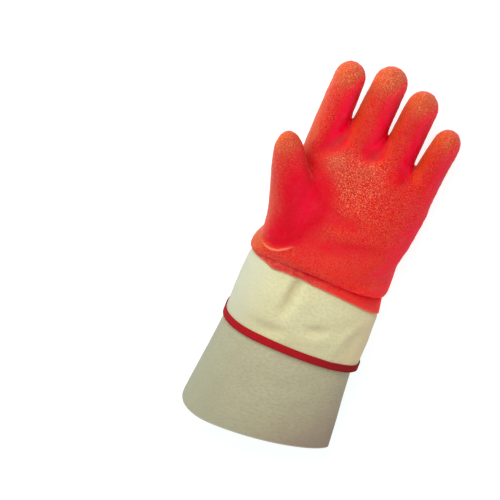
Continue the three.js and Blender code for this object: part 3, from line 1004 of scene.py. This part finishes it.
def make_binding():
    """The tape, folded round the outer cuff's hem: a slot for the hem, a side inside the cuff, the
    fold, and a side outside it."""
    slot_end = CUFF_HEM - GAP
    end = slot_end - TAPE_WALL
    top = end + TAPE_WIDTH
    outer = GAP + TAPE_WALL
    inner = -(OUTER_CUFF_WALL + GAP)
    section = [(slot_end, GAP), (slot_end, inner), (top, inner), (top, inner - TAPE_WALL)]
    section += [(y, inner - TAPE_WALL) for y in np.linspace(top, end + TAPE_ROUNDING, TAPE_ROWS)[1:]]
    section += [(end, inner - TAPE_WALL + TAPE_ROUNDING), (end, outer - TAPE_ROUNDING)]
    section += [(y, outer) for y in np.linspace(end + TAPE_ROUNDING, top, TAPE_ROWS)]
    section += [(top, GAP)]
    rows = [cuff_rows(np.array([y]), height)[0] for y, height in section]
    return wall("tape", np.array(rows))


def make_gauntlet():
    under_cuff = -(OUTER_CUFF_WALL + GAP)
    under_tape = under_cuff - TAPE_WALL - 2 * GAP
    hidden = np.arange(CUFF_HEM, CUFFS_START, STEP)
    sink = ramp(hidden, *SINK_ALONG)
    sink = sink**2 * (3 - 2 * sink)
    height = under_cuff + (under_tape - under_cuff) * sink
    shown = np.arange(GAUNTLET_HEM, CUFF_HEM - BEFORE_HEM, STEP)
    share = (CUFF_HEM - shown) / (CUFF_HEM - GAUNTLET_HEM)
    fullness = [c + (m - c) * share for c, m in zip(CUFF_FULLNESS, MOUTH_FULLNESS)]
    table = on_smooth_curve(GAUNTLET, shown)

    def face(inset):
        beyond = cross_grid(table, -inset, fullness, CUFF_AROUND, lambda x, y: 0)
        return np.concatenate([beyond, cuff_rows(hidden, height - inset)])

    return wall("long_cuff", np.concatenate([face(0), face(GAUNTLET_WALL)[::-1]]))


# Materials

class Nodes:
    """The nodes of a material or of the world, built up to its last shader."""

    def __init__(self, owner, shader="Principled BSDF"):
        owner.use_nodes = True
        self.owner = owner
        self.tree = owner.node_tree
        self.shader = self.tree.nodes[shader]

    def put(self, socket, value):
        """Links a socket to another one, or gives it a value."""
        if isinstance(value, bpy.types.NodeSocket):
            self.tree.links.new(value, socket)
        else:
            socket.default_value = value

    def add(self, kind, inputs, **settings):
        """A new node with its settings and inputs. Returns its first output."""
        node = self.tree.nodes.new(kind)
        for name, value in settings.items():
            setattr(node, name, value)
        for name, value in inputs.items():
            self.put(node.inputs[name], value)
        return node.outputs[0]

    def finish(self, **inputs):
        """Puts inputs into the shader, each under its name with _ for a space."""
        for name, value in inputs.items():
            self.put(self.shader.inputs[name.replace("_", " ")], value)
        return self.owner

    def place(self, kind="Object"):
        """The point's place in metres, or in the world its direction."""
        return self.tree.nodes.new("ShaderNodeTexCoord").outputs[kind]

    def cloth_place(self):
        """The cloth coordinates in millimetres: both together, round, and along."""
        uv = self.add("ShaderNodeUVMap", {}, uv_map=CLOTH)
        node = self.tree.nodes.new("ShaderNodeSeparateXYZ")
        self.put(node.inputs[0], uv)
        return uv, node.outputs[0], node.outputs[1]

    def share(self, name):
        """A share that a mesh keeps at its points, 0 where it has none."""
        node = self.tree.nodes.new("ShaderNodeAttribute")
        node.attribute_name = name
        return node.outputs["Fac"]

    def noise(self, place, size, detail=2, roughness=0.5, distortion=0):
        """Noise from 0 to 1 in waves of a size, in the units of the place."""
        inputs = {"Vector": place, "Scale": 1 / size, "Detail": detail, "Roughness": roughness}
        inputs["Distortion"] = distortion
        return self.add("ShaderNodeTexNoise", inputs)

    def math(self, operation, a, b=0.0):
        return self.add("ShaderNodeMath", {0: a, 1: b}, operation=operation)

    def weighed(self, a, b, share):
        """A sum of two values, the second by its share and the first by the rest."""
        return self.math("ADD", self.math("MULTIPLY", a, 1 - share), self.math("MULTIPLY", b, share))

    def dot(self, place, way):
        """How far a place lies along a direction."""
        node = self.tree.nodes.new("ShaderNodeVectorMath")
        node.operation = "DOT_PRODUCT"
        self.put(node.inputs[0], place)
        self.put(node.inputs[1], way)
        return node.outputs["Value"]

    def between(self, value, low, high, new_low=0.0, new_high=1.0):
        """A value moved smoothly from one range to another and kept inside it."""
        inputs = {0: value, 1: low, 2: high, 3: new_low, 4: new_high}
        return self.add("ShaderNodeMapRange", inputs, interpolation_type="SMOOTHSTEP")

    def eased(self, share, most):
        """A share from 0 to 1 that is made to run smoothly from 0 to its most."""
        return self.between(share, 0.0, 1.0, 0.0, most)

    def mix(self, share, a, b):
        """A mix of two colours."""
        node = self.tree.nodes.new("ShaderNodeMix")
        node.data_type = "RGBA"
        self.put(node.inputs[MIX_SHARE], share)
        self.put(node.inputs[MIX_FIRST], (*a, 1) if isinstance(a, tuple) else a)
        self.put(node.inputs[MIX_SECOND], (*b, 1) if isinstance(b, tuple) else b)
        return node.outputs[MIX_RESULT]

    def bump(self, height, depth):
        """A bumped normal. depth is the height's full range in metres."""
        return self.add("ShaderNodeBump", {"Height": height, "Distance": depth, "Strength": 1.0})


def coating(name, grain_size, grain_depth, glint_share, least_deep, gloss):
    """Crinkled plastic coating: crests painted lighter and more orange than the dips, as a highlight and
    shade on the grain, and painted glints. It is smoother and painted with deep shade where the mesh
    says so."""
    m = Nodes(bpy.data.materials.new(name))
    place = m.place()
    coarse = m.noise(place, grain_size, detail=3, roughness=0.62, distortion=0.7)
    fine = m.noise(place, grain_size / FINE_GRAIN, detail=2, roughness=0.55)
    mottling = m.noise(place, MOTTLING_SIZE)
    height = m.weighed(coarse, fine, FINE_SHARE)
    # The painted deep shade, at least least_deep everywhere
    deep = m.math("MAXIMUM", m.share(DEEP_SHADE), least_deep)
    shade_flank = m.share(SHADE_FLANK)
    hollow = m.share(HOLLOW_SHADE)
    rough = m.between(deep, 0.0, 1.0, 1.0, DEEP_RELIEF)

    # Painted highlight on the crests and painted shade in the dips
    colour = m.mix(m.between(height, *CREST_RANGE), SHADED_DIP_RED, LIT_CREST_RED)
    colour = m.mix(m.between(mottling, *MOTTLING_RANGE, 0.0, MOTTLING_MOST), colour, SHADE_AND_MOTTLE_RED)
    # Wear with painted highlight, painted light and painted shade, mixed in by share
    tints = [
        (m.share(WEAR_AND_HIGHLIGHT), WEAR_AND_HIGHLIGHT_MOST, WEAR_AND_HIGHLIGHT_RED),
        (m.share(LIT_SIDE), LIT_SIDE_MOST, LIT_SIDE_RED),
        (deep, DEEP_SHADE_MOST, SHADE_AND_MOTTLE_RED),
        (shade_flank, SHADE_FLANK_MOST, SHADE_FLANK_RED),
        (hollow, HOLLOW_SHADE_MOST, HOLLOW_SHADE_RED),
    ]
    for share, most, tint in tints:
        colour = m.mix(m.eased(share, most), colour, tint)
    colour = m.mix(m.share(SHADE), colour, SHADE_RED)
    # Painted glints: bright specks on the grain
    dots = m.weighed(m.noise(place, grain_size * GLINT_GRAIN, detail=0), height, GLINT_HEIGHT_SHARE)
    glints = m.math("MULTIPLY", m.between(dots, *GLINT_RANGE, 0.0, glint_share), rough)
    colour = m.mix(m.math("MULTIPLY", glints, m.share(GLINT)), colour, GLINT_RED)
    # Painted pale highlights
    colour = m.mix(m.share(PALE_AND_HIGHLIGHT), colour, PALE_AND_HIGHLIGHT_RED)

    relief = m.math("MULTIPLY", m.math("SUBTRACT", height, 0.5), rough)
    dull = m.between(fine, *GLOSS_RANGE, *GRAIN_ROUGHNESS)
    dull = m.math("ADD", dull, m.eased(deep, DEEP_DULLS))
    dull = m.math("ADD", dull, m.eased(m.math("MAXIMUM", shade_flank, hollow), SHADE_DULLS))
    return m.finish(
        Base_Color=colour,
        Roughness=dull,
        Normal=m.bump(relief, grain_depth),
        IOR=1.28,
        Specular_IOR_Level=gloss,
        Specular_Tint=(1.0, 0.92, 0.55, 1),
        Subsurface_Weight=0.7,
        Subsurface_Radius=(1.0, 0.05, 0.05),
        Subsurface_Scale=0.012,
        Sheen_Weight=0.1,
        Sheen_Roughness=0.45,
        Sheen_Tint=(1.0, 0.42, 0.2, 1),
    )


def woven(name, warp, weft, pitch, depth, mottle, dark, fuzz, shading_tones, edge=None):
    """Plain woven cloth: two sets of threads that pass over each other, with uneven yarn. pitch is in
    millimetres and depth in metres. An edge is a painted highlight along the first rows of the cloth."""
    m = Nodes(bpy.data.materials.new(name))
    uv, u, v = m.cloth_place()
    sway = m.math("MULTIPLY", m.noise(uv, SWAY_SIZE), SWAY)
    u_turn, v_turn = (
        m.math("ADD", m.math("MULTIPLY", way, 2 * math.pi / pitch), sway) for way in (u, v)
    )
    over = m.math("MULTIPLY", m.math("SINE", u_turn), m.math("SINE", v_turn))
    threads = m.between(over, -1.0, 1.0)
    fibre = m.noise(uv, FIBRE_SIZE, detail=3, roughness=0.6)
    cloud = m.noise(uv, CLOUD_SIZE, detail=3, roughness=0.6)
    slub = m.noise(uv, SLUB_SIZE, detail=2, roughness=0.6)
    colour = m.mix(threads, warp, weft)
    colour = m.mix(m.between(slub, *SLUB_RANGE, 0.0, mottle), colour, dark)
    colour = m.mix(m.between(cloud, *CLOUD_RANGE, 0.0, mottle * CLOUD_SHARE), colour, dark)
    # Painted shade in the outer cuff's folds
    colour = m.mix(m.eased(m.share(FOLD_SHADE), FOLD_SHADE_MOST), colour, dark)
    # Painted shade and light by place
    for way, start, full, most, shading_tone in shading_tones:
        across = m.dot(m.place(), way)
        colour = m.mix(m.between(across, start, full, 0.0, most), colour, shading_tone)
    # Painted highlight along the hem
    if edge:
        width, most, pale_and_highlight = edge
        colour = m.mix(m.between(v, EDGE_FULL * width, width, most, 0.0), colour, pale_and_highlight)
    return m.finish(
        Base_Color=colour,
        Roughness=0.95,
        Specular_IOR_Level=0.25,
        Normal=m.bump(m.weighed(threads, fibre, FIBRE_SHARE), depth),
        Sheen_Weight=fuzz,
        Sheen_Roughness=0.6,
    )


def rough_coating():
    return coating("rough_coating", grain_size=0.001, grain_depth=0.0016, glint_share=0.62,
                   least_deep=0.0, gloss=0.5)


def smooth_coating():
    return coating("smooth_coating", grain_size=0.0035, grain_depth=0.0006, glint_share=0.1,
                   least_deep=0.2, gloss=0.35)


def cream_cloth():
    return woven("cream_cloth", warp=(0.64, 0.635, 0.475), weft=(0.58, 0.575, 0.425), pitch=0.9,
                 depth=0.00025, mottle=0.35, dark=(0.42, 0.38, 0.26), fuzz=0.25, shading_tones=CUFF_SHADING_TONES)


def red_tape():
    return woven("red_tape", warp=(0.35, 0.026, 0.033), weft=(0.30, 0.022, 0.029), pitch=0.8,
                 depth=0.0002, mottle=0.4, dark=(0.20, 0.014, 0.018), fuzz=0.0, shading_tones=TAPE_SHADING_TONES)


def grey_cloth():
    return woven("grey_cloth", warp=(0.485, 0.48, 0.375), weft=(0.425, 0.42, 0.33), pitch=0.7,
                 depth=0.00018, mottle=0.35, dark=(0.28, 0.25, 0.19), fuzz=0.1, shading_tones=GAUNTLET_SHADING_TONES,
                 edge=GAUNTLET_HIGHLIGHT_EDGE)


# The pieces, in place of the nodes that they stand for

def fit(piece, node, material):
    piece.data.materials.clear()
    piece.data.materials.append(material)
    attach(piece, "root")
    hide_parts(node)
    return piece


hand = fit(make_hand(), "hand_shell", rough_coating())
fit(make_band(), "wrist_band", smooth_coating())
short_cuff = fit(make_outer_cuff(), "outer_cuff", cream_cloth())
hem_tape = fit(make_binding(), "cuff_binding", red_tape())
long_cuff = fit(make_gauntlet(), "gauntlet", grey_cloth())


# Floor, camera and light

def make_floor():
    mesh = bpy.data.meshes.new("floor")
    corners = [(-1, -1), (1, -1), (1, 1), (-1, 1)]
    places = [(x * FLOOR_REACH, y * FLOOR_REACH, FLOOR_HEIGHT) for x, y in corners]
    mesh.from_pydata(places, [], [(0, 1, 2, 3)])
    mesh.materials.append(Nodes(bpy.data.materials.new("floor")).finish(
        Base_Color=FLOOR_GREY,
        Roughness=0.9,
        Specular_IOR_Level=0.0,
        Emission_Color=FLOOR_GLOW,
        Emission_Strength=0.84,
    ))
    floor = bpy.data.objects.new("floor", mesh)
    scene.collection.objects.link(floor)
    return floor


def make_camera():
    """A camera that leans back from straight above and is rolled, so that the glove lies aslant."""
    towards = Vector((0, math.sin(TILT), math.cos(TILT)))
    level = Vector((1, 0, 0))
    upright = Vector((0, math.cos(TILT), -math.sin(TILT)))
    right = math.cos(ROLL) * level + math.sin(ROLL) * upright
    up = -math.sin(ROLL) * level + math.cos(ROLL) * upright
    camera = bpy.data.objects.new("camera", bpy.data.cameras.new("camera"))
    camera.data.lens = LENS
    camera.data.sensor_width = SENSOR
    camera.location = Vector(LOOK_AT) * MM + Vector(ORIGIN) * MM + DISTANCE * towards
    camera.rotation_euler = Matrix((right, up, towards)).transposed().to_euler()
    scene.collection.objects.link(camera)
    return camera


def make_lamp():
    data = bpy.data.lights.new("key", "AREA")
    data.shape = "DISK"
    data.size = LAMP_SIZE
    data.energy = LAMP_POWER
    data.color = LAMP_COLOUR
    lamp = bpy.data.objects.new("key", data)
    lamp.location = LAMP_PLACE
    lamp.rotation_euler = (Vector(LAMP_PLACE) - Vector(LAMP_TARGET)).to_track_quat("Z", "Y").to_euler()
    scene.collection.objects.link(lamp)


def make_sky():
    """A world whose light fades from its bright side to its dim side."""
    m = Nodes(bpy.data.worlds.new("studio"), "Background")
    facing = m.dot(m.place("Generated"), Vector(SKY_WAY).normalized())
    share = m.between(facing, -SKY_REACH, SKY_REACH)
    return m.finish(Color=m.mix(share, SKY_DIM, SKY_BRIGHT), Strength=SKY_STRENGTH)


def strengthen_colours():
    """Has the compositor put the picture's colours through a stronger saturation."""
    scene.use_nodes = True
    tree = scene.node_tree
    for node in list(tree.nodes):
        tree.nodes.remove(node)
    layers = tree.nodes.new("CompositorNodeRLayers")
    stronger = tree.nodes.new("CompositorNodeColorCorrection")
    stronger.master_saturation = SATURATION
    result = tree.nodes.new("CompositorNodeComposite")
    tree.links.new(layers.outputs["Image"], stronger.inputs["Image"])
    tree.links.new(stronger.outputs["Image"], result.inputs["Image"])


floor = make_floor()
bpy.context.scene.camera = make_camera()
make_lamp()
scene.world = make_sky()
scene.view_settings.view_transform = "Standard"
strengthen_colours()
